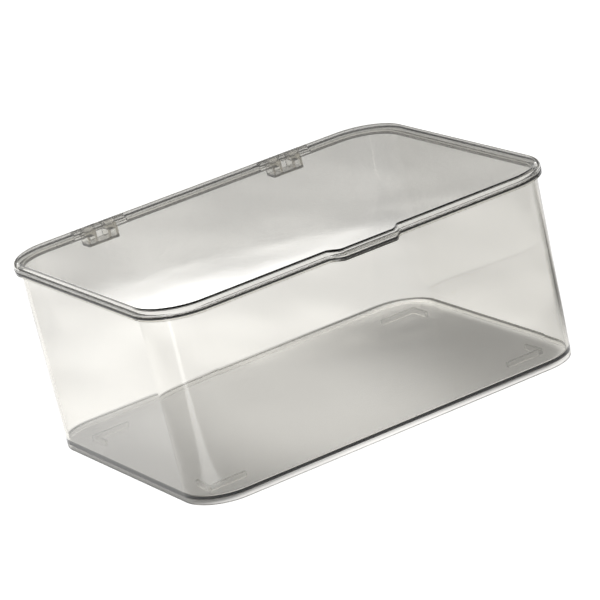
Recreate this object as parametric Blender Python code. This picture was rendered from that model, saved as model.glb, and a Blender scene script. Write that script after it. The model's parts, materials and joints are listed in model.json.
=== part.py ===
"""Clear stacking box with a hinged lid.

Metres, +Z up, +X to the right along the box, +Y towards its hinges. The origin is the middle of
the outer box on the surface that its foot rim and stacking feet stand on.

Pieces: the moulded box, the moulded lid, and one plain pin in each of the two hinges. Each hinge
has five knuckles on its pin: two on the box and, beside and between them, three on the lid.
"""

import math

import bmesh
import bpy

# Rim outline, which the lid's edge follows
LENGTH = 0.330
WIDTH = 0.256
CORNER_RADIUS = 0.0385
CORNER_STEPS = 10

# Finger tab at the middle of the front rim
TAB_DEPTH = 0.0080
TAB_WIDTH = 0.0600
TAB_EASE = 0.0100
TAB_STEPS = 6

# Box: the wall runs on below the floor as a foot rim
FOOT_HEIGHT = 0.0040
RIM_HEIGHT = 0.1405
RIM_OVERHANG = 0.0040
RIM_THICKNESS = 0.0030
RIM_FILLET = 0.0015
DRAFT = 0.0020
WALL = 0.0024
FLOOR = 0.0020
BOTTOM_ROUND = 0.0008
INNER_ROUND = 0.0016
EDGE_ROUND = 0.0004
PARTING_ROUND = 0.0014
ARC_STEPS = 4

# Stacking feet: an L under each corner of the floor, as tall as the foot rim
FOOT_CORNER_X = 0.1400
FOOT_CORNER_Y = 0.0900
FOOT_LONG = 0.0300
FOOT_SHORT = 0.0210
FOOT_RIB = 0.0024

# Lid
LID_GAP = 0.0003
LID_ROUND = 0.0037
LID_WALL = 0.0018
LID_SIDE = 0.0018

# Hinges
HINGE_X = 0.0800
AXIS_OUT = 0.0010
KNUCKLE_PITCH = 0.0087
KNUCKLE_GAP = 0.0007
KNUCKLE_RADIUS = 0.0030
PIN_RADIUS = 0.0015
PIN_CLEARANCE = 0.0001
ROUND_SIDES = 24
NOTCH_GAP = 0.0006
BRACKET_DROP = 0.0119
BRACKET_BAR = 0.0018
POCKET_EDGE = 0.0018
STOP_HEIGHT = 0.0018

# Values that follow from the dimensions above
AXIS_Y = WIDTH / 2 + AXIS_OUT
AXIS_Z = RIM_HEIGHT
WALL_INSET = RIM_OVERHANG
BASE_INSET = RIM_OVERHANG + DRAFT
FLOOR_TOP = FOOT_HEIGHT + FLOOR
NOTCH_Y = AXIS_Y - KNUCKLE_RADIUS - NOTCH_GAP
BACK_Y = WIDTH / 2 + TAB_DEPTH
BORE_RADIUS = PIN_RADIUS + PIN_CLEARANCE
HINGE_CENTRES = (("left", -HINGE_X), ("right", HINGE_X))
BOX_HALF = 1.5 * KNUCKLE_PITCH - KNUCKLE_GAP / 2
GAP_HALF = 0.5 * KNUCKLE_PITCH + KNUCKLE_GAP / 2
LID_HALF = 2.5 * KNUCKLE_PITCH - KNUCKLE_GAP / 2


def clear_scene():
    for item in list(bpy.data.objects):
        bpy.data.objects.remove(item, do_unlink=True)


def make_material(name, colour, roughness, alpha):
    material = bpy.data.materials.new(name)
    material.use_nodes = True
    shader = material.node_tree.nodes["Principled BSDF"]
    shader.inputs["Base Color"].default_value = (*colour, 1.0)
    shader.inputs["Roughness"].default_value = roughness
    shader.inputs["Metallic"].default_value = 0.0
    shader.inputs["Alpha"].default_value = alpha
    material.diffuse_color = (*colour, alpha)
    return material


def add_object(name, mesh, location=(0.0, 0.0, 0.0)):
    thing = bpy.data.objects.new(name, mesh)
    thing.location = location
    bpy.context.scene.collection.objects.link(thing)
    return thing


def finish_mesh(bm, name):
    bmesh.ops.recalc_face_normals(bm, faces=bm.faces)
    mesh = bpy.data.meshes.new(name)
    bm.to_mesh(mesh)
    bm.free()
    return mesh


def shade(mesh, angle=35.0):
    mesh.shade_smooth()
    mesh.set_sharp_from_angle(angle=math.radians(angle))


def tab_shape(x):
    """Share of the finger tab's depth at x: 1 along its middle, easing to 0 at both ends."""
    run = (TAB_WIDTH / 2 - abs(x)) / TAB_EASE
    run = min(max(run, 0.0), 1.0)
    return run * run * (3.0 - 2.0 * run)


def tab_stations():
    """Places along the front edge that draw the tab's two eased ends."""
    left = [-TAB_WIDTH / 2 + TAB_EASE * step / TAB_STEPS for step in range(TAB_STEPS + 1)]
    return left + [-x for x in reversed(left)]


def outline(inset, z, tab=0.0):
    """A closed loop of points at height z, inset from the rim, pushed out at the tab by tab."""
    half_x = LENGTH / 2 - inset
    half_y = WIDTH / 2 - inset
    radius = CORNER_RADIUS - inset
    points = [(x, -half_y - tab * tab_shape(x), z) for x in tab_stations()]
    for quarter, (side_x, side_y) in enumerate(((1, -1), (1, 1), (-1, 1), (-1, -1))):
        for step in range(CORNER_STEPS + 1):
            angle = math.pi / 2 * (quarter - 1 + step / CORNER_STEPS)
            x = side_x * (half_x - radius) + radius * math.cos(angle)
            y = side_y * (half_y - radius) + radius * math.sin(angle)
            points.append((x, y, z))
    return points


def arc(centre_inset, centre_z, radius, start, end, steps=ARC_STEPS):
    """(inset, z) along an arc of the wall's section; 0 degrees points inwards, 90 up."""
    found = []
    for step in range(steps + 1):
        angle = math.radians(start + (end - start) * step / steps)
        found.append((centre_inset + radius * math.cos(angle), centre_z + radius * math.sin(angle)))
    return found


def loft(name, loops):
    """A closed mesh through the loops, with a flat face across the first and the last."""
    bm = bmesh.new()
    rings = [[bm.verts.new(point) for point in loop] for loop in loops]
    count = len(rings[0])
    for lower, upper in zip(rings, rings[1:]):
        for i in range(count):
            j = (i + 1) % count
            bm.faces.new((lower[i], lower[j], upper[j], upper[i]))
    bm.faces.new(rings[0])
    bm.faces.new(rings[-1])
    return finish_mesh(bm, name)


def add_prism(bm, section, x_start, x_end):
    """Adds a solid of the (y, z) section, drawn along X from x_start to x_end."""
    near = [bm.verts.new((x_start, y, z)) for y, z in section]
    far = [bm.verts.new((x_end, y, z)) for y, z in section]
    bm.faces.new(near)
    bm.faces.new(far)
    for i in range(len(section)):
        j = (i + 1) % len(section)
        bm.faces.new((near[i], near[j], far[j], far[i]))


def block(y_start, y_end, z_start, z_end):
    return [(y_start, z_start), (y_end, z_start), (y_end, z_end), (y_start, z_end)]


def circle(radius, start=0.0, end=360.0):
    """(y, z) points round the hinge axis, from start to end degrees; 0 points back, 90 up."""
    steps = max(1, round(ROUND_SIDES * abs(end - start) / 360.0))
    closed = abs(end - start) >= 360.0
    found = []
    for step in range(steps if closed else steps + 1):
        angle = math.radians(start + (end - start) * step / steps)
        found.append((AXIS_Y + radius * math.cos(angle), AXIS_Z + radius * math.sin(angle)))
    return found


def tool(name, solids):
    """A hidden helper solid for a Boolean, made of (section, x_start, x_end) prisms."""
    bm = bmesh.new()
    for section, x_start, x_end in solids:
        add_prism(bm, section, x_start, x_end)
    helper = add_object(name, finish_mesh(bm, name))
    helper.hide_render = True
    helper.display_type = "WIRE"
    return helper


def boolean(target, helper, operation):
    modifier = target.modifiers.new(helper.name, "BOOLEAN")
    modifier.operation = operation
    modifier.solver = "EXACT"
    modifier.object = helper


def at_hinges(section, x_start, x_end):
    """The same prism at both hinges."""
    return [(section, centre + x_start, centre + x_end) for _, centre in HINGE_CENTRES]


def bracket_section():
    """Side view of the box's hinge bracket: square block, stop at its back, rounded knuckle."""
    stop_angle = math.degrees(math.asin(STOP_HEIGHT / KNUCKLE_RADIUS))
    wall_y = WIDTH / 2 - WALL_INSET - WALL / 2
    low = AXIS_Z - BRACKET_DROP
    section = [
        (wall_y, low),
        (BACK_Y, low),
        (BACK_Y, AXIS_Z + STOP_HEIGHT),
    ]
    section += circle(KNUCKLE_RADIUS, stop_angle, 180.0)
    section += [(AXIS_Y - KNUCKLE_RADIUS, AXIS_Z - EDGE_ROUND), (wall_y, AXIS_Z - EDGE_ROUND)]
    return section


def knuckle_section():
    """Side view of one lid knuckle: a round barrel with a flat neck into the lid's edge."""
    neck_low = LID_GAP + EDGE_ROUND / 2
    meet = 180.0 - math.degrees(math.asin(neck_low / KNUCKLE_RADIUS))
    section = circle(KNUCKLE_RADIUS, 90.0, meet - 360.0)
    section.append((section[-1][0], AXIS_Z + KNUCKLE_RADIUS))
    return section


def add_feet(bm):
    """Four L-shaped ribs under the raised floor, their corners outwards."""
    low = 0.0
    high = FOOT_HEIGHT + FLOOR / 3
    for side_x in (-1, 1):
        for side_y in (-1, 1):
            plan = [
                (0.0, 0.0),
                (FOOT_LONG, 0.0),
                (FOOT_LONG, FOOT_RIB),
                (FOOT_RIB, FOOT_RIB),
                (FOOT_RIB, FOOT_SHORT),
                (0.0, FOOT_SHORT),
            ]
            corner = [(side_x * (FOOT_CORNER_X - u), side_y * (FOOT_CORNER_Y - v)) for u, v in plan]
            bottom = [bm.verts.new((x, y, low)) for x, y in corner]
            top = [bm.verts.new((x, y, high)) for x, y in corner]
            bm.faces.new(bottom)
            bm.faces.new(top)
            for i in range(len(corner)):
                j = (i + 1) % len(corner)
                bm.faces.new((bottom[i], bottom[j], top[j], top[i]))


def box_loops():
    """Sections of the box from the middle of its underside, up outside, over the rim and down."""
    rim_low = RIM_HEIGHT - RIM_THICKNESS
    loops = []
    skirt = BASE_INSET + WALL
    r = BOTTOM_ROUND
    base = arc(skirt + r, FOOT_HEIGHT - r, r, 90, 180, 2)
    base += arc(skirt - r, r, r, 0, -90, 3)
    base += arc(BASE_INSET + r, r, r, -90, -180, 3)
    loops += [outline(inset, z) for inset, z in base]
    under = arc(WALL_INSET - RIM_FILLET, rim_low - RIM_FILLET, RIM_FILLET, 0, 90, 3)
    loops += [outline(inset, z) for inset, z in under[:-1]]
    inset, z = under[-1]
    loops.append(outline(inset, z, TAB_DEPTH * 0.5))
    loops.append(outline(EDGE_ROUND, rim_low, TAB_DEPTH))
    loops.append(outline(0.0, rim_low + EDGE_ROUND, TAB_DEPTH))
    loops.append(outline(0.0, RIM_HEIGHT - EDGE_ROUND, TAB_DEPTH))
    loops.append(outline(EDGE_ROUND, RIM_HEIGHT, TAB_DEPTH))
    loops.append(outline(WALL_INSET + WALL - EDGE_ROUND, RIM_HEIGHT))
    loops.append(outline(WALL_INSET + WALL, RIM_HEIGHT - EDGE_ROUND))
    inner = arc(BASE_INSET + WALL + INNER_ROUND, FLOOR_TOP + INNER_ROUND, INNER_ROUND, 180, 270)
    loops += [outline(inset, z) for inset, z in inner]
    return loops


def lid_loops():
    """Sections of the lid from its panel's top, out over the rolled edge and back underneath."""
    low = RIM_HEIGHT + LID_GAP
    round_z = RIM_HEIGHT + LID_SIDE
    loops = []
    outer = arc(LID_ROUND, round_z, LID_ROUND, 90, 180, 5)
    loops += [outline(inset, z, TAB_DEPTH) for inset, z in outer]
    lower = arc(PARTING_ROUND, low + PARTING_ROUND, PARTING_ROUND, 180, 270, 3)
    loops += [outline(inset, z, TAB_DEPTH) for inset, z in lower]
    loops.append(outline(LID_WALL, low, TAB_DEPTH))
    inner = arc(LID_ROUND, round_z, LID_ROUND - LID_WALL, 180, 90)
    loops += [outline(inset, z, TAB_DEPTH) for inset, z in inner]
    return loops


def build_box(material):
    box = add_object("box_body", loft("box_body", box_loops()))
    box.data.materials.append(material)

    bm = bmesh.new()
    add_feet(bm)
    feet = add_object("feet_tool", finish_mesh(bm, "feet_tool"))
    feet.hide_render = True
    feet.display_type = "WIRE"
    boolean(box, feet, "UNION")

    above = AXIS_Z + 2 * KNUCKLE_RADIUS
    behind = BACK_Y + 2 * KNUCKLE_RADIUS
    notch_low = AXIS_Z - KNUCKLE_RADIUS - 2 * RIM_FILLET
    notch = block(NOTCH_Y, behind, notch_low, above)
    notch_half = LID_HALF + KNUCKLE_GAP
    boolean(box, tool("rim_notch_tool", at_hinges(notch, -notch_half, notch_half)), "DIFFERENCE")
    bracket = at_hinges(bracket_section(), -BOX_HALF, BOX_HALF)
    boolean(box, tool("bracket_tool", bracket), "UNION")

    gap_y = WIDTH / 2 - WALL_INSET + NOTCH_GAP
    gap = block(gap_y, behind, AXIS_Z - BRACKET_DROP + BRACKET_BAR, above)
    boolean(box, tool("bracket_gap_tool", at_hinges(gap, -GAP_HALF, GAP_HALF)), "DIFFERENCE")
    pocket_low = AXIS_Z - BRACKET_DROP + BRACKET_BAR
    pocket = block(gap_y, behind, pocket_low, AXIS_Z - KNUCKLE_RADIUS - BRACKET_BAR)
    pocket_start = GAP_HALF + POCKET_EDGE
    pocket_end = BOX_HALF - POCKET_EDGE
    pockets = at_hinges(pocket, pocket_start, pocket_end)
    pockets += at_hinges(pocket, -pocket_end, -pocket_start)
    boolean(box, tool("bracket_pocket_tool", pockets), "DIFFERENCE")
    reach = BOX_HALF + KNUCKLE_PITCH / 2
    bores = at_hinges(circle(BORE_RADIUS), -reach, reach)
    boolean(box, tool("box_bore_tool", bores), "DIFFERENCE")
    shade(box.data)
    return box


def build_lid(material):
    """The lid, with its origin on the hinge axis."""
    lid = add_object("lid", loft("lid", lid_loops()))
    lid.data.materials.append(material)

    side = KNUCKLE_GAP / 3
    above = AXIS_Z + 4 * KNUCKLE_RADIUS
    below = AXIS_Z - KNUCKLE_RADIUS
    slot = block(NOTCH_Y, BACK_Y, below, above)
    slots = []
    for direction in (-1, 1):
        ends = (direction * (GAP_HALF - KNUCKLE_GAP), direction * (BOX_HALF + KNUCKLE_GAP))
        slots += at_hinges(slot, min(ends), max(ends))
    boolean(lid, tool("lid_slot_tool", slots), "DIFFERENCE")

    knuckle = knuckle_section()
    centre_half = GAP_HALF - KNUCKLE_GAP - side
    outer_start = BOX_HALF + KNUCKLE_GAP + side
    knuckles = at_hinges(knuckle, -centre_half, centre_half)
    knuckles += at_hinges(knuckle, outer_start, LID_HALF)
    knuckles += at_hinges(knuckle, -LID_HALF, -outer_start)
    boolean(lid, tool("knuckle_tool", knuckles), "UNION")
    reach = LID_HALF + KNUCKLE_PITCH / 2
    boolean(lid, tool("lid_bore_tool", at_hinges(circle(BORE_RADIUS), -reach, reach)), "DIFFERENCE")
    shade(lid.data)
    return lid


def build_pin(side, centre, material):
    bm = bmesh.new()
    half = LID_HALF - KNUCKLE_GAP
    add_prism(bm, circle(PIN_RADIUS), -half, half)
    bmesh.ops.translate(bm, verts=bm.verts, vec=(0.0, -AXIS_Y, -AXIS_Z))
    name = side + "_hinge_pin"
    pin = add_object(name, finish_mesh(bm, name), (centre, AXIS_Y, AXIS_Z))
    pin.data.materials.append(material)
    shade(pin.data)
    return pin


def move_origin(thing, origin):
    """Moves the object's origin to a point and leaves its shape where it is."""
    for vertex in thing.data.vertices:
        for axis in range(3):
            vertex.co[axis] -= origin[axis]
    thing.location = origin


def main():
    clear_scene()
    smoke = (0.60, 0.58, 0.54)
    box_plastic = make_material("box_plastic", smoke, 0.04, 0.30)
    lid_plastic = make_material("lid_plastic", smoke, 0.04, 0.32)
    pin_plastic = make_material("pin_plastic", (0.66, 0.64, 0.60), 0.08, 0.45)
    build_box(box_plastic)
    lid = build_lid(lid_plastic)
    move_origin(lid, (0.0, AXIS_Y, AXIS_Z))
    for side, centre in HINGE_CENTRES:
        build_pin(side, centre, pin_plastic)


main()
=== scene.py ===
"""Looks for the clear stacking box with a hinged lid: finely rounded clear mouldings with smoke
tint through their thickness, on a pale floor in a white studio.

Metres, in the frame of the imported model: +X along the box, +Y towards the hinges, +Z up.
"""

import json
import math

import bmesh
import bpy
from mathutils import Matrix, Vector


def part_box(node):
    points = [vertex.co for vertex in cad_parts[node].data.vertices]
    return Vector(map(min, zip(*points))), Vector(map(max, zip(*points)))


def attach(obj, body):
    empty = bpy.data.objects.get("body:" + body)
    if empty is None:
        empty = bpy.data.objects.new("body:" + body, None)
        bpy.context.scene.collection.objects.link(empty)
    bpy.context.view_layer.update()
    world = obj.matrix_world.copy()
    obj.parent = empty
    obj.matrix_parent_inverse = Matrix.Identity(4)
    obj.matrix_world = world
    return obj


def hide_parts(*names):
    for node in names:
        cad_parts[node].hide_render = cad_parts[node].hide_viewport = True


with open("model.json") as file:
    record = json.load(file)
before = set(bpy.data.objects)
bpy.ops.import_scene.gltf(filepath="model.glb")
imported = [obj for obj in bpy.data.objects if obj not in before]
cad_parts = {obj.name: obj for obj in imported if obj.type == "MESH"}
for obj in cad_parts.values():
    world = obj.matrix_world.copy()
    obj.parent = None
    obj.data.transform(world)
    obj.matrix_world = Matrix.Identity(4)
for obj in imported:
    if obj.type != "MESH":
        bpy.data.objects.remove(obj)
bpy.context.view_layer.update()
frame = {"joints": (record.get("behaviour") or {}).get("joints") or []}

# ---------------------------------------------------------------- sizes from the frame
BODY_LOW, BODY_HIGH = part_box("box_body")
LID_LOW, LID_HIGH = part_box("lid")
PIN_LOW, PIN_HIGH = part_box("right_hinge_pin")
HINGE = frame["joints"][0]["pos_m"]

LENGTH = BODY_HIGH.x - BODY_LOW.x
AXIS_Y = HINGE[1]
AXIS_Z = HINGE[2]
RIM_HEIGHT = AXIS_Z
AXIS_OUT = 0.0010
WIDTH = 2 * (AXIS_Y - AXIS_OUT)
TAB_DEPTH = -WIDTH / 2 - BODY_LOW.y
BACK_Y = BODY_HIGH.y
LID_TOP = LID_HIGH.z
HINGE_X = (PIN_LOW.x + PIN_HIGH.x) / 2
KNUCKLE_RADIUS = AXIS_Z - LID_LOW.z
PIN_RADIUS = (PIN_HIGH.z - PIN_LOW.z) / 2

# ---------------------------------------------------------------- moulded sections
CORNER_RADIUS = 0.0385
CORNER_STEPS = 28
TAB_WIDTH = 0.0600
TAB_EASE = 0.0100
TAB_STEPS = 14

FOOT_HEIGHT = 0.0040
RIM_OVERHANG = 0.0040
RIM_THICKNESS = 0.0030
RIM_FILLET = 0.0015
DRAFT = 0.0020
WALL = 0.0024
FLOOR = 0.0020
BOTTOM_ROUND = 0.0008
INNER_ROUND = 0.0016
EDGE_ROUND = 0.0005
PARTING_ROUND = 0.0014
ARC_STEPS = 10
EDGE_STEPS = 4

FOOT_CORNER_X = 0.1400
FOOT_CORNER_Y = 0.0900
FOOT_LONG = 0.0300
FOOT_SHORT = 0.0210
FOOT_RIB = 0.0024

LID_GAP = 0.0003
LID_SIDE = 0.0018
LID_WALL = 0.0018
LID_ROUND = LID_TOP - RIM_HEIGHT - LID_SIDE

KNUCKLE_PITCH = 0.0087
KNUCKLE_GAP = 0.0007
BORE_RADIUS = PIN_RADIUS + 0.0001
PIN_EDGE = 0.0003
ROUND_SIDES = 64
NOTCH_GAP = 0.0006
BRACKET_DROP = 0.0119
BRACKET_BAR = 0.0018
POCKET_EDGE = 0.0018
STOP_HEIGHT = 0.0018

BASE_INSET = RIM_OVERHANG + DRAFT
FLOOR_TOP = FOOT_HEIGHT + FLOOR
NOTCH_Y = AXIS_Y - KNUCKLE_RADIUS - NOTCH_GAP
BOX_HALF = 1.5 * KNUCKLE_PITCH - KNUCKLE_GAP / 2
GAP_HALF = 0.5 * KNUCKLE_PITCH + KNUCKLE_GAP / 2
LID_HALF = 2.5 * KNUCKLE_PITCH - KNUCKLE_GAP / 2
HINGE_CENTRES = (("left", -HINGE_X), ("right", HINGE_X))

# ---------------------------------------------------------------- camera
CAMERA_AZIMUTH = -25.99
CAMERA_ELEVATION = 17.59
CAMERA_ROLL = -13.14
CAMERA_DISTANCE = 2.6187
CAMERA_TARGET = (0.0, 0.0, 0.062)
CAMERA_SLIDE = (0.00084, 0.01406)
CAMERA_LENS = 218.1


def make_camera():
    azimuth, elevation, roll = (
        math.radians(a) for a in (CAMERA_AZIMUTH, CAMERA_ELEVATION, CAMERA_ROLL)
    )
    back = Vector((
        math.sin(azimuth) * math.cos(elevation),
        -math.cos(azimuth) * math.cos(elevation),
        math.sin(elevation),
    ))
    level_right = (-back).cross(Vector((0, 0, 1))).normalized()
    level_up = level_right.cross(-back)
    right = math.cos(roll) * level_right + math.sin(roll) * level_up
    up = -math.sin(roll) * level_right + math.cos(roll) * level_up
    data = bpy.data.cameras.new("camera")
    data.lens = CAMERA_LENS
    data.clip_end = 50.0
    camera = bpy.data.objects.new("camera", data)
    bpy.context.scene.collection.objects.link(camera)
    place = Vector(CAMERA_TARGET) + back * CAMERA_DISTANCE
    place += right * CAMERA_SLIDE[0] + up * CAMERA_SLIDE[1]
    camera.matrix_world = Matrix.Translation(place) @ Matrix((right, up, back)).transposed().to_4x4()
    bpy.context.scene.camera = camera
    return camera


# ---------------------------------------------------------------- mesh building
def finish_mesh(bm, name):
    bmesh.ops.recalc_face_normals(bm, faces=bm.faces)
    mesh = bpy.data.meshes.new(name)
    bm.to_mesh(mesh)
    bm.free()
    return mesh


def add_object(name, mesh):
    thing = bpy.data.objects.new(name, mesh)
    bpy.context.scene.collection.objects.link(thing)
    return thing


def tab_shape(x):
    """Share of the finger tab's depth at x: 1 along its middle, easing to 0 at both ends."""
    run = (TAB_WIDTH / 2 - abs(x)) / TAB_EASE
    run = min(max(run, 0.0), 1.0)
    return run * run * (3.0 - 2.0 * run)


def tab_stations():
    left = [-TAB_WIDTH / 2 + TAB_EASE * step / TAB_STEPS for step in range(TAB_STEPS + 1)]
    return left + [-x for x in reversed(left)]


def outline(inset, z, tab=0.0):
    """A closed loop of points at height z, inset from the rim, pushed out at the tab by tab."""
    half_x = LENGTH / 2 - inset
    half_y = WIDTH / 2 - inset
    radius = CORNER_RADIUS - inset
    points = [(x, -half_y - tab * tab_shape(x), z) for x in tab_stations()]
    for quarter, (side_x, side_y) in enumerate(((1, -1), (1, 1), (-1, 1), (-1, -1))):
        for step in range(CORNER_STEPS + 1):
            angle = math.pi / 2 * (quarter - 1 + step / CORNER_STEPS)
            x = side_x * (half_x - radius) + radius * math.cos(angle)
            y = side_y * (half_y - radius) + radius * math.sin(angle)
            points.append((x, y, z))
    return points


def arc(centre_inset, centre_z, radius, start, end, steps=ARC_STEPS):
    """(inset, z) along an arc of the wall's section; 0 degrees points inwards, 90 up."""
    found = []
    for step in range(steps + 1):
        angle = math.radians(start + (end - start) * step / steps)
        found.append((centre_inset + radius * math.cos(angle), centre_z + radius * math.sin(angle)))
    return found


def loft(name, loops):
    """A closed mesh through the loops, with a flat face across the first and the last."""
    bm = bmesh.new()
    rings = [[bm.verts.new(point) for point in loop] for loop in loops]
    count = len(rings[0])
    for lower, upper in zip(rings, rings[1:]):
        for i in range(count):
            j = (i + 1) % count
            bm.faces.new((lower[i], lower[j], upper[j], upper[i]))
    bm.faces.new(rings[0])
    bm.faces.new(rings[-1])
    return finish_mesh(bm, name)


def add_prism(bm, section, x_start, x_end):
    """Adds a solid of the (y, z) section, drawn along X from x_start to x_end."""
    near = [bm.verts.new((x_start, y, z)) for y, z in section]
    far = [bm.verts.new((x_end, y, z)) for y, z in section]
    bm.faces.new(near)
    bm.faces.new(far)
    for i in range(len(section)):
        j = (i + 1) % len(section)
        bm.faces.new((near[i], near[j], far[j], far[i]))


def block(y_start, y_end, z_start, z_end):
    return [(y_start, z_start), (y_end, z_start), (y_end, z_end), (y_start, z_end)]


def circle(radius, start=0.0, end=360.0):
    """(y, z) points round the hinge axis, from start to end degrees; 0 points back, 90 up."""
    steps = max(1, round(ROUND_SIDES * abs(end - start) / 360.0))
    closed = abs(end - start) >= 360.0
    found = []
    for step in range(steps if closed else steps + 1):
        angle = math.radians(start + (end - start) * step / steps)
        found.append((AXIS_Y + radius * math.cos(angle), AXIS_Z + radius * math.sin(angle)))
    return found


def at_hinges(section, x_start, x_end):
    """The same prism at both hinges."""
    return [(section, centre + x_start, centre + x_end) for _, centre in HINGE_CENTRES]


def prisms(name, solids):
    bm = bmesh.new()
    for section, x_start, x_end in solids:
        add_prism(bm, section, x_start, x_end)
    return add_object(name, finish_mesh(bm, name))


def carve(target, steps):
    """Runs the Boolean steps, (operation, helper), keeps the result and removes the helpers."""
    for operation, helper in steps:
        modifier = target.modifiers.new(helper.name, "BOOLEAN")
        modifier.operation = operation
        modifier.solver = "EXACT"
        modifier.object = helper
    bpy.context.view_layer.update()
    depsgraph = bpy.context.evaluated_depsgraph_get()
    mesh = bpy.data.meshes.new_from_object(target.evaluated_get(depsgraph))
    target.modifiers.clear()
    target.data = mesh
    for _, helper in steps:
        bpy.data.objects.remove(helper)
    return target


def soften(thing, angle=34.0):
    """Smooth shading that keeps flat walls flat and edges sharper than the angle crisp."""
    thing.data.shade_smooth()
    thing.data.set_sharp_from_angle(angle=math.radians(angle))
    modifier = thing.modifiers.new("weighted_normals", "WEIGHTED_NORMAL")
    modifier.mode = "FACE_AREA"
    modifier.weight = 90
    modifier.keep_sharp = True


# ---------------------------------------------------------------- box
def bracket_section():
    """Side view of the box's hinge bracket: square block, stop at its back, rounded knuckle."""
    stop_angle = math.degrees(math.asin(STOP_HEIGHT / KNUCKLE_RADIUS))
    wall_y = WIDTH / 2 - RIM_OVERHANG - WALL / 2
    low = AXIS_Z - BRACKET_DROP
    section = [
        (wall_y, low),
        (BACK_Y, low),
        (BACK_Y, AXIS_Z + STOP_HEIGHT),
    ]
    section += circle(KNUCKLE_RADIUS, stop_angle, 180.0)
    section += [(AXIS_Y - KNUCKLE_RADIUS, AXIS_Z - EDGE_ROUND), (wall_y, AXIS_Z - EDGE_ROUND)]
    return section


def knuckle_section():
    """Side view of one lid knuckle: a round barrel with a flat neck into the lid's edge."""
    neck_low = LID_GAP + EDGE_ROUND / 2
    meet = 180.0 - math.degrees(math.asin(neck_low / KNUCKLE_RADIUS))
    section = circle(KNUCKLE_RADIUS, 90.0, meet - 360.0)
    section.append((section[-1][0], AXIS_Z + KNUCKLE_RADIUS))
    return section


def feet():
    """Four L-shaped ribs under the floor, their corners outwards."""
    bm = bmesh.new()
    high = FOOT_HEIGHT + FLOOR / 3
    plan = [
        (0.0, 0.0),
        (FOOT_LONG, 0.0),
        (FOOT_LONG, FOOT_RIB),
        (FOOT_RIB, FOOT_RIB),
        (FOOT_RIB, FOOT_SHORT),
        (0.0, FOOT_SHORT),
    ]
    for side_x in (-1, 1):
        for side_y in (-1, 1):
            corner = [(side_x * (FOOT_CORNER_X - u), side_y * (FOOT_CORNER_Y - v)) for u, v in plan]
            bottom = [bm.verts.new((x, y, 0.0)) for x, y in corner]
            top = [bm.verts.new((x, y, high)) for x, y in corner]
            bm.faces.new(bottom)
            bm.faces.new(top)
            for i in range(len(corner)):
                j = (i + 1) % len(corner)
                bm.faces.new((bottom[i], bottom[j], top[j], top[i]))
    return add_object("feet", finish_mesh(bm, "feet"))


def box_loops():
    """Sections of the box from the middle of its underside, up outside, over the rim and down."""
    rim_low = RIM_HEIGHT - RIM_THICKNESS
    r = EDGE_ROUND
    loops = []
    skirt = BASE_INSET + WALL
    b = BOTTOM_ROUND
    base = arc(skirt + b, FOOT_HEIGHT - b, b, 90, 180, EDGE_STEPS)
    base += arc(skirt - b, b, b, 0, -90, EDGE_STEPS)
    base += arc(BASE_INSET + b, b, b, -90, -180, EDGE_STEPS)
    loops += [outline(inset, z) for inset, z in base]
    under = arc(RIM_OVERHANG - RIM_FILLET, rim_low - RIM_FILLET, RIM_FILLET, 0, 90, EDGE_STEPS)
    loops += [outline(inset, z) for inset, z in under[:-1]]
    inset, z = under[-1]
    loops.append(outline(inset, z, TAB_DEPTH * 0.5))
    lower = arc(r, rim_low + r, r, 270, 180, EDGE_STEPS)
    loops += [outline(inset, z, TAB_DEPTH) for inset, z in lower]
    upper = arc(r, RIM_HEIGHT - r, r, 180, 90, EDGE_STEPS)
    loops += [outline(inset, z, TAB_DEPTH) for inset, z in upper]
    inner_edge = arc(RIM_OVERHANG + WALL - r, RIM_HEIGHT - r, r, 90, 0, EDGE_STEPS)
    loops += [outline(inset, z) for inset, z in inner_edge]
    inner = arc(BASE_INSET + WALL + INNER_ROUND, FLOOR_TOP + INNER_ROUND, INNER_ROUND, 180, 270)
    loops += [outline(inset, z) for inset, z in inner]
    return loops


def build_box():
    box = add_object("clear_box", loft("clear_box", box_loops()))
    above = AXIS_Z + 2 * KNUCKLE_RADIUS
    behind = BACK_Y + 2 * KNUCKLE_RADIUS
    notch = block(NOTCH_Y, behind, AXIS_Z - KNUCKLE_RADIUS - 2 * RIM_FILLET, above)
    notch_half = LID_HALF + KNUCKLE_GAP
    gap_y = WIDTH / 2 - RIM_OVERHANG + NOTCH_GAP
    gap = block(gap_y, behind, AXIS_Z - BRACKET_DROP + BRACKET_BAR, above)
    reach = BOX_HALF + KNUCKLE_PITCH / 2
    pocket_low = AXIS_Z - BRACKET_DROP + BRACKET_BAR
    pocket = block(gap_y, behind, pocket_low, AXIS_Z - KNUCKLE_RADIUS - BRACKET_BAR)
    pocket_start = GAP_HALF + POCKET_EDGE
    pocket_end = BOX_HALF - POCKET_EDGE
    pockets = at_hinges(pocket, pocket_start, pocket_end)
    pockets += at_hinges(pocket, -pocket_end, -pocket_start)
    carve(box, [
        ("UNION", feet()),
        ("DIFFERENCE", prisms("rim_notch", at_hinges(notch, -notch_half, notch_half))),
        ("UNION", prisms("bracket", at_hinges(bracket_section(), -BOX_HALF, BOX_HALF))),
        ("DIFFERENCE", prisms("bracket_gap", at_hinges(gap, -GAP_HALF, GAP_HALF))),
        ("DIFFERENCE", prisms("bracket_pocket", pockets)),
        ("DIFFERENCE", prisms("box_bore", at_hinges(circle(BORE_RADIUS), -reach, reach))),
    ])
    soften(box)
    return box


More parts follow.
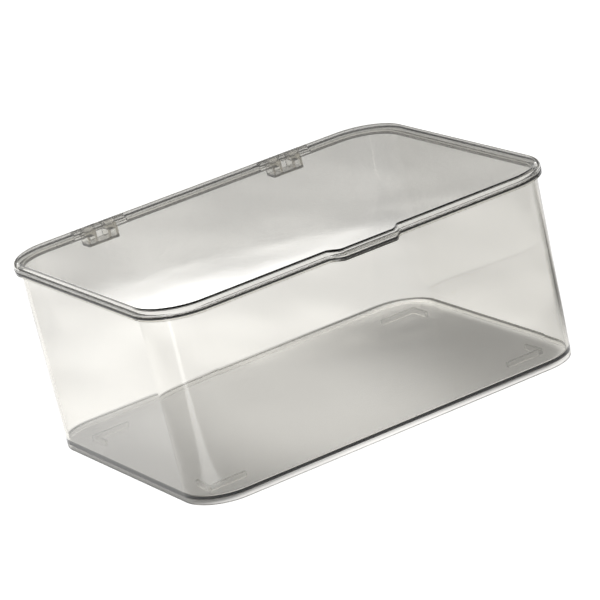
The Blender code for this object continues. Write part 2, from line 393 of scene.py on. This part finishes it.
# ---------------------------------------------------------------- lid
def lid_loops():
    """Sections of the lid from its panel's top, out over the rolled edge and back underneath."""
    p = PARTING_ROUND
    low = RIM_HEIGHT + LID_GAP
    round_z = RIM_HEIGHT + LID_SIDE
    section = arc(LID_ROUND, round_z, LID_ROUND, 90, 180)
    section += arc(p, low + p, p, 180, 270, EDGE_STEPS)
    section.append((LID_WALL, low))
    section += arc(LID_ROUND, round_z, LID_ROUND - LID_WALL, 180, 90)
    return [outline(inset, z, TAB_DEPTH) for inset, z in section]


def build_lid():
    lid = add_object("clear_lid", loft("clear_lid", lid_loops()))
    side = KNUCKLE_GAP / 3
    slot = block(NOTCH_Y, BACK_Y, AXIS_Z - KNUCKLE_RADIUS, AXIS_Z + 4 * KNUCKLE_RADIUS)
    slots = []
    for direction in (-1, 1):
        ends = (direction * (GAP_HALF - KNUCKLE_GAP), direction * (BOX_HALF + KNUCKLE_GAP))
        slots += at_hinges(slot, min(ends), max(ends))
    knuckle = knuckle_section()
    centre_half = GAP_HALF - KNUCKLE_GAP - side
    outer_start = BOX_HALF + KNUCKLE_GAP + side
    knuckles = at_hinges(knuckle, -centre_half, centre_half)
    knuckles += at_hinges(knuckle, outer_start, LID_HALF)
    knuckles += at_hinges(knuckle, -LID_HALF, -outer_start)
    reach = LID_HALF + KNUCKLE_PITCH / 2
    carve(lid, [
        ("DIFFERENCE", prisms("lid_slot", slots)),
        ("UNION", prisms("knuckle", knuckles)),
        ("DIFFERENCE", prisms("lid_bore", at_hinges(circle(BORE_RADIUS), -reach, reach))),
    ])
    soften(lid)
    return lid


def build_pin(name, centre):
    bm = bmesh.new()
    half = LID_HALF - KNUCKLE_GAP
    add_prism(bm, circle(PIN_RADIUS), centre - half, centre + half)
    ends = [edge for edge in bm.edges if abs(edge.verts[0].co.x - edge.verts[1].co.x) < 1e-6]
    bmesh.ops.bevel(bm, geom=ends, offset=PIN_EDGE, segments=3, profile=0.5, affect="EDGES")
    pin = add_object(name, finish_mesh(bm, name))
    soften(pin)
    return pin


# ---------------------------------------------------------------- materials
# Light lost per metre of plastic, in red, green and blue.
SMOKE = (70.0, 74.0, 86.0)
PALE_SMOKE = (30.0, 31.0, 35.0)
PLASTIC_IOR = 1.50
FLOW_SCALE = 16.0
SCUFF_SCALE = 140.0
# Painted shadow in the parting gap, painted black into the rim's colour: how far it reaches down
# the rim, its soft edge, and where along Y it fades out before the hinges. A face is the rim's
# outer one where its normal times its place passes the outward span, the last of these.
PARTING_SHADE_REACH = 0.0014
PARTING_SHADE_SOFT = 0.0003
PARTING_SHADE_FADE = (0.100, 0.118)
PARTING_SHADE_OUTWARD = (0.06, 0.10)


def clear_plastic(name, absorb, roughness, wave, scuff, parting_shade=False):
    """Clear moulded plastic: tint through its thickness, faint flow waves and scuffs, and on request
    a painted shadow at the rim's parting.

    absorb is the light lost per metre, roughness the least and scuff what the scuffs add to it,
    wave the height of the flow waves in metres, and the last argument, when true, paints a black
    painted shadow into the rim's colour along the parting gap.
    """
    material = bpy.data.materials.new(name)
    material.use_nodes = True
    tree = material.node_tree
    shader = tree.nodes["Principled BSDF"]
    output = tree.nodes["Material Output"]
    shader.inputs["Base Color"].default_value = (1.0, 1.0, 1.0, 1.0)
    shader.inputs["Transmission Weight"].default_value = 1.0
    shader.inputs["IOR"].default_value = PLASTIC_IOR
    volume = tree.nodes.new("ShaderNodeVolumeAbsorption")
    density = max(absorb) / 0.95
    volume.inputs["Color"].default_value = (*(1.0 - value / density for value in absorb), 1.0)
    volume.inputs["Density"].default_value = density
    tree.links.new(volume.outputs[0], output.inputs["Volume"])

    place = tree.nodes.new("ShaderNodeTexCoord")
    flow = tree.nodes.new("ShaderNodeTexNoise")
    flow.inputs["Scale"].default_value = FLOW_SCALE
    flow.inputs["Detail"].default_value = 1.0
    tree.links.new(place.outputs["Object"], flow.inputs["Vector"])
    bump = tree.nodes.new("ShaderNodeBump")
    bump.inputs["Strength"].default_value = 1.0
    bump.inputs["Distance"].default_value = wave
    tree.links.new(flow.outputs["Fac"], bump.inputs["Height"])
    tree.links.new(bump.outputs["Normal"], shader.inputs["Normal"])

    # Painted shade: the rim's colour turns black along the parting gap, standing for its shadow.
    if parting_shade:
        tree.links.new(paint_parting_shade(tree, place), shader.inputs["Base Color"])

    haze = tree.nodes.new("ShaderNodeTexNoise")
    haze.inputs["Scale"].default_value = SCUFF_SCALE
    haze.inputs["Detail"].default_value = 6.0
    tree.links.new(place.outputs["Object"], haze.inputs["Vector"])
    spread = tree.nodes.new("ShaderNodeMapRange")
    # The noise stays mostly between these two values.
    spread.inputs["From Min"].default_value = 0.35
    spread.inputs["From Max"].default_value = 0.75
    spread.inputs["To Min"].default_value = roughness
    spread.inputs["To Max"].default_value = roughness + scuff
    tree.links.new(haze.outputs["Fac"], spread.inputs["Value"])
    tree.links.new(spread.outputs["Result"], shader.inputs["Roughness"])
    return material


def ramp(tree, value, stops):
    """A brightness that eases between (position, brightness) stops of the value."""
    node = tree.nodes.new("ShaderNodeValToRGB")
    node.color_ramp.interpolation = "EASE"
    while len(node.color_ramp.elements) < len(stops):
        node.color_ramp.elements.new(0.5)
    for element, (position, brightness) in zip(node.color_ramp.elements, stops):
        element.position = position
        element.color = (brightness, brightness, brightness, 1.0)
    tree.links.new(value, node.inputs["Fac"])
    return node.outputs["Color"]


def eased(tree, value, span, levels):
    """The value eased from the first level to the second across the span."""
    node = tree.nodes.new("ShaderNodeMapRange")
    node.interpolation_type = "SMOOTHSTEP"
    node.inputs["From Min"].default_value = span[0]
    node.inputs["From Max"].default_value = span[1]
    node.inputs["To Min"].default_value = levels[0]
    node.inputs["To Max"].default_value = levels[1]
    tree.links.new(value, node.inputs["Value"])
    return node.outputs["Result"]


def vector_maths(tree, operation, source, vector=None):
    """A Vector Math node on the source; its outputs are Vector, or Value for a length or a dot."""
    node = tree.nodes.new("ShaderNodeVectorMath")
    node.operation = operation
    tree.links.new(source, node.inputs[0])
    if vector is not None:
        node.inputs[1].default_value = vector
    return node


def blend(tree, factor, first, second):
    """first where the factor is 0, second where it is 1; each is a number or a socket."""
    node = tree.nodes.new("ShaderNodeMix")
    tree.links.new(factor, node.inputs["Factor"])
    for value, socket in ((first, node.inputs["A"]), (second, node.inputs["B"])):
        if isinstance(value, float):
            socket.default_value = value
        else:
            tree.links.new(value, socket)
    return node.outputs["Result"]


def maths(tree, operation, *values):
    """The result of a Math node on the linked values."""
    node = tree.nodes.new("ShaderNodeMath")
    node.operation = operation
    for value, socket in zip(values, node.inputs):
        tree.links.new(value, socket)
    return node.outputs["Value"]


def paint_parting_shade(tree, place):
    """Painted shade: white, but black on the rim's outer face near the parting plane, up to the back
    edge, standing for the shadow in the parting gap.
    """
    parting = (0.0, 0.0, RIM_HEIGHT)
    off_plane = vector_maths(tree, "SUBTRACT", place.outputs["Object"], parting).outputs["Vector"]
    parts = tree.nodes.new("ShaderNodeSeparateXYZ")
    tree.links.new(off_plane, parts.inputs["Vector"])
    apart = maths(tree, "ABSOLUTE", parts.outputs["Z"])
    near = eased(tree, apart, (PARTING_SHADE_REACH, PARTING_SHADE_REACH + PARTING_SHADE_SOFT), (1.0, 0.0))
    level = vector_maths(tree, "MULTIPLY", place.outputs["Object"], (1.0, 1.0, 0.0))
    facing = vector_maths(tree, "DOT_PRODUCT", level.outputs["Vector"])
    tree.links.new(place.outputs["Normal"], facing.inputs[1])
    outward = eased(tree, facing.outputs["Value"], PARTING_SHADE_OUTWARD, (0.0, 1.0))
    ahead = eased(tree, parts.outputs["Y"], PARTING_SHADE_FADE, (1.0, 0.0))
    dark = maths(tree, "MULTIPLY", maths(tree, "MULTIPLY", near, outward), ahead)
    clear = blend(tree, dark, 1.0, 0.0)
    tint = tree.nodes.new("ShaderNodeCombineColor")
    for channel in ("Red", "Green", "Blue"):
        tree.links.new(clear, tint.inputs[channel])
    return tint.outputs["Color"]


# ---------------------------------------------------------------- studio
FLOOR_SIZE = 2.0
FLOOR_DROP = 0.0002
FLOOR_WHITE = 0.88
# Painted light: round the box the floor glows, though it is no lamp, less to its right than to its
# left.
GLOW_DIRECTION = (-1.0, 0.0, 0.0)
GLOW_SPAN = (-0.50, 0.12)
GLOW_LEVELS = (0.74, 1.14)
# Soft clouds of painted light in that glow.
CLOUD_SCALE = (11.0, 5.0, 1.0)
CLOUD_SPAN = (0.35, 0.65)
CLOUD_LEVELS = (0.92, 1.12)
# Painted shadow under the box: there the floor's glow is darker, brightest in the middle, with its
# edge along the footprint.
GLOW_RING_SHIFT = (-0.002, 0.008, 0.0)
GLOW_RING_SPAN = (0.026, 0.038)
UNDER_SHADOW_PLACE = (-0.012, 0.030, 0.0)
UNDER_SHADOW_SCALE = (1.0, 0.4, 0.0)
UNDER_SHADOW_SPAN = (0.025, 0.14)
UNDER_SHADOW_LEVELS = (0.70, 0.09)
# Painted light: a bright lane runs out from the front left corner and mirrors as a streak on the
# round wall.
STREAK_PLACE = (-0.165, -0.128, 0.0)
STREAK_ALONG = (-0.90, -0.43, 0.0)
STREAK_ACROSS = (0.43, -0.90, 0.0)
STREAK_SPAN = (0.012, 0.036)
STREAK_START = (0.0, 0.02)
STREAK_LEVEL = 2.2
# Dark soft ovals of painted shade in the floor's glow: (middle, 1 / reach along each axis, where the
# edge starts, level inside).
PAINTED_SHADE_OVALS = (
    ((0.45, -0.055, 0.0), (3.2, 9.5, 0.0), 0.5, 0.06),
    ((-0.04, 0.42, 0.0), (7.0, 7.0, 0.0), 0.3, 0.78),
    ((0.28, 0.23, 0.0), (5.0, 5.0, 0.0), 0.3, 0.82),
)
# The sky's brightness by the height of the direction, 0 level and 1 overhead.
SKY_STOPS = (
    (0.0, 0.03), (0.10, 0.04), (0.265, 0.07), (0.284, 0.09), (0.291, 0.36), (0.296, 1.0),
    (0.305, 0.95), (0.318, 0.27), (0.345, 0.37), (0.55, 0.03), (1.0, 0.05),
)
SKY_STRENGTH = 3.2


def oval_distance(tree, place, middle, scale):
    """Distance from the middle, with each axis scaled."""
    away = vector_maths(tree, "SUBTRACT", place, middle).outputs["Vector"]
    scaled = vector_maths(tree, "MULTIPLY", away, scale).outputs["Vector"]
    return vector_maths(tree, "LENGTH", scaled).outputs["Value"]


def footprint_mask(tree, place):
    """0 under the box, where the painted shadow lies, 1 outside it, along a rounded rectangle near
    the footprint's edge.
    """
    moved = vector_maths(tree, "SUBTRACT", place, GLOW_RING_SHIFT).outputs["Vector"]
    apart = vector_maths(tree, "ABSOLUTE", moved).outputs["Vector"]
    core = (LENGTH / 2 - CORNER_RADIUS, WIDTH / 2 - CORNER_RADIUS, 0.0)
    beyond = vector_maths(tree, "SUBTRACT", apart, core).outputs["Vector"]
    outside = vector_maths(tree, "MAXIMUM", beyond, (0.0, 0.0, 0.0)).outputs["Vector"]
    distance = vector_maths(tree, "LENGTH", outside).outputs["Value"]
    return eased(tree, distance, GLOW_RING_SPAN, (0.0, 1.0))


def open_glow(tree, place):
    """The painted glow of the open floor: a side to side fade with clouds, and the bright lane."""
    along = vector_maths(tree, "DOT_PRODUCT", place, GLOW_DIRECTION).outputs["Value"]
    side = eased(tree, along, GLOW_SPAN, GLOW_LEVELS)
    cloud = tree.nodes.new("ShaderNodeTexNoise")
    cloud.inputs["Scale"].default_value = 1.0
    cloud.inputs["Detail"].default_value = 1.0
    stretched = vector_maths(tree, "MULTIPLY", place, CLOUD_SCALE).outputs["Vector"]
    tree.links.new(stretched, cloud.inputs["Vector"])
    clouds = eased(tree, cloud.outputs["Fac"], CLOUD_SPAN, CLOUD_LEVELS)
    aside = vector_maths(tree, "SUBTRACT", place, STREAK_PLACE).outputs["Vector"]
    offset = vector_maths(tree, "DOT_PRODUCT", aside, STREAK_ACROSS).outputs["Value"]
    lane = eased(tree, maths(tree, "ABSOLUTE", offset), STREAK_SPAN, (STREAK_LEVEL, 0.0))
    ahead = vector_maths(tree, "DOT_PRODUCT", aside, STREAK_ALONG).outputs["Value"]
    front = eased(tree, ahead, STREAK_START, (0.0, 1.0))
    return maths(tree, "MULTIPLY_ADD", lane, front, maths(tree, "MULTIPLY", side, clouds))


def floor_material():
    """A white table, lit evenly as seen directly; the clear plastic sees its graded painted glow,
    with painted shadow under the box.
    """
    material = bpy.data.materials.new("studio_floor")
    material.use_nodes = True
    tree = material.node_tree
    shader = tree.nodes["Principled BSDF"]
    shader.inputs["Base Color"].default_value = (FLOOR_WHITE, FLOOR_WHITE, FLOOR_WHITE, 1.0)
    shader.inputs["Roughness"].default_value = 1.0
    shader.inputs["Specular IOR Level"].default_value = 0.0
    place = tree.nodes.new("ShaderNodeTexCoord").outputs["Object"]
    # Painted shadow under the box, in the floor's glow.
    spread = oval_distance(tree, place, UNDER_SHADOW_PLACE, UNDER_SHADOW_SCALE)
    under = eased(tree, spread, UNDER_SHADOW_SPAN, UNDER_SHADOW_LEVELS)
    glow = blend(tree, footprint_mask(tree, place), under, open_glow(tree, place))
    # Painted shade: each dark oval darkens the glow.
    for middle, scale, edge, darkest in PAINTED_SHADE_OVALS:
        reach = oval_distance(tree, place, middle, scale)
        glow = maths(tree, "MULTIPLY", glow, eased(tree, reach, (edge, 1.0), (darkest, 1.0)))

    path = tree.nodes.new("ShaderNodeLightPath")
    shown = blend(tree, path.outputs["Is Camera Ray"], glow, 1.0)
    shader.inputs["Emission Color"].default_value = (1.0, 1.0, 1.0, 1.0)
    tree.links.new(shown, shader.inputs["Emission Strength"])
    return material


def make_floor():
    bm = bmesh.new()
    bmesh.ops.create_grid(bm, x_segments=1, y_segments=1, size=FLOOR_SIZE)
    floor = add_object("studio_floor", finish_mesh(bm, "studio_floor"))
    floor.location.z = -FLOOR_DROP
    floor.data.materials.append(floor_material())
    return floor


def make_world():
    """A white sky as seen directly; the clear plastic sees it dark but for one bright low band."""
    world = bpy.data.worlds.new("studio")
    world.use_nodes = True
    tree = world.node_tree
    background = tree.nodes["Background"]
    place = tree.nodes.new("ShaderNodeTexCoord")
    split = tree.nodes.new("ShaderNodeSeparateXYZ")
    tree.links.new(place.outputs["Generated"], split.inputs["Vector"])
    sky = ramp(tree, split.outputs["Z"], SKY_STOPS)
    path = tree.nodes.new("ShaderNodeLightPath")
    mix = tree.nodes.new("ShaderNodeMix")
    mix.data_type = "RGBA"
    tree.links.new(path.outputs["Is Camera Ray"], mix.inputs["Factor"])
    tree.links.new(sky, mix.inputs["A"])
    mix.inputs["B"].default_value = (1.0, 1.0, 1.0, 1.0)
    tree.links.new(mix.outputs["Result"], background.inputs["Color"])
    background.inputs["Strength"].default_value = SKY_STRENGTH
    bpy.context.scene.world = world
    return world


# ---------------------------------------------------------------- build
make_camera()
make_world()
make_floor()
bpy.context.scene.view_settings.view_transform = "Standard"

# The box's plastic carries the painted shadow along the parting gap.
body_plastic = clear_plastic("smoke_box_plastic", SMOKE, 0.0, 0.00004, 0.03, parting_shade=True)
lid_plastic = clear_plastic("smoke_lid_plastic", SMOKE, 0.0, 0.00004, 0.03)
pin_plastic = clear_plastic("clear_pin_plastic", PALE_SMOKE, 0.02, 0.00001, 0.04)

clear_box = build_box()
clear_box.data.materials.clear()
clear_box.data.materials.append(body_plastic)
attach(clear_box, "box")
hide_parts("box_body")

clear_lid = build_lid()
clear_lid.data.materials.clear()
clear_lid.data.materials.append(lid_plastic)
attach(clear_lid, "lid")
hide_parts("lid")

for side, centre in HINGE_CENTRES:
    pin = build_pin(side + "_clear_pin", centre)
    pin.data.materials.append(pin_plastic)
    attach(pin, "box")
    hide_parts(side + "_hinge_pin")
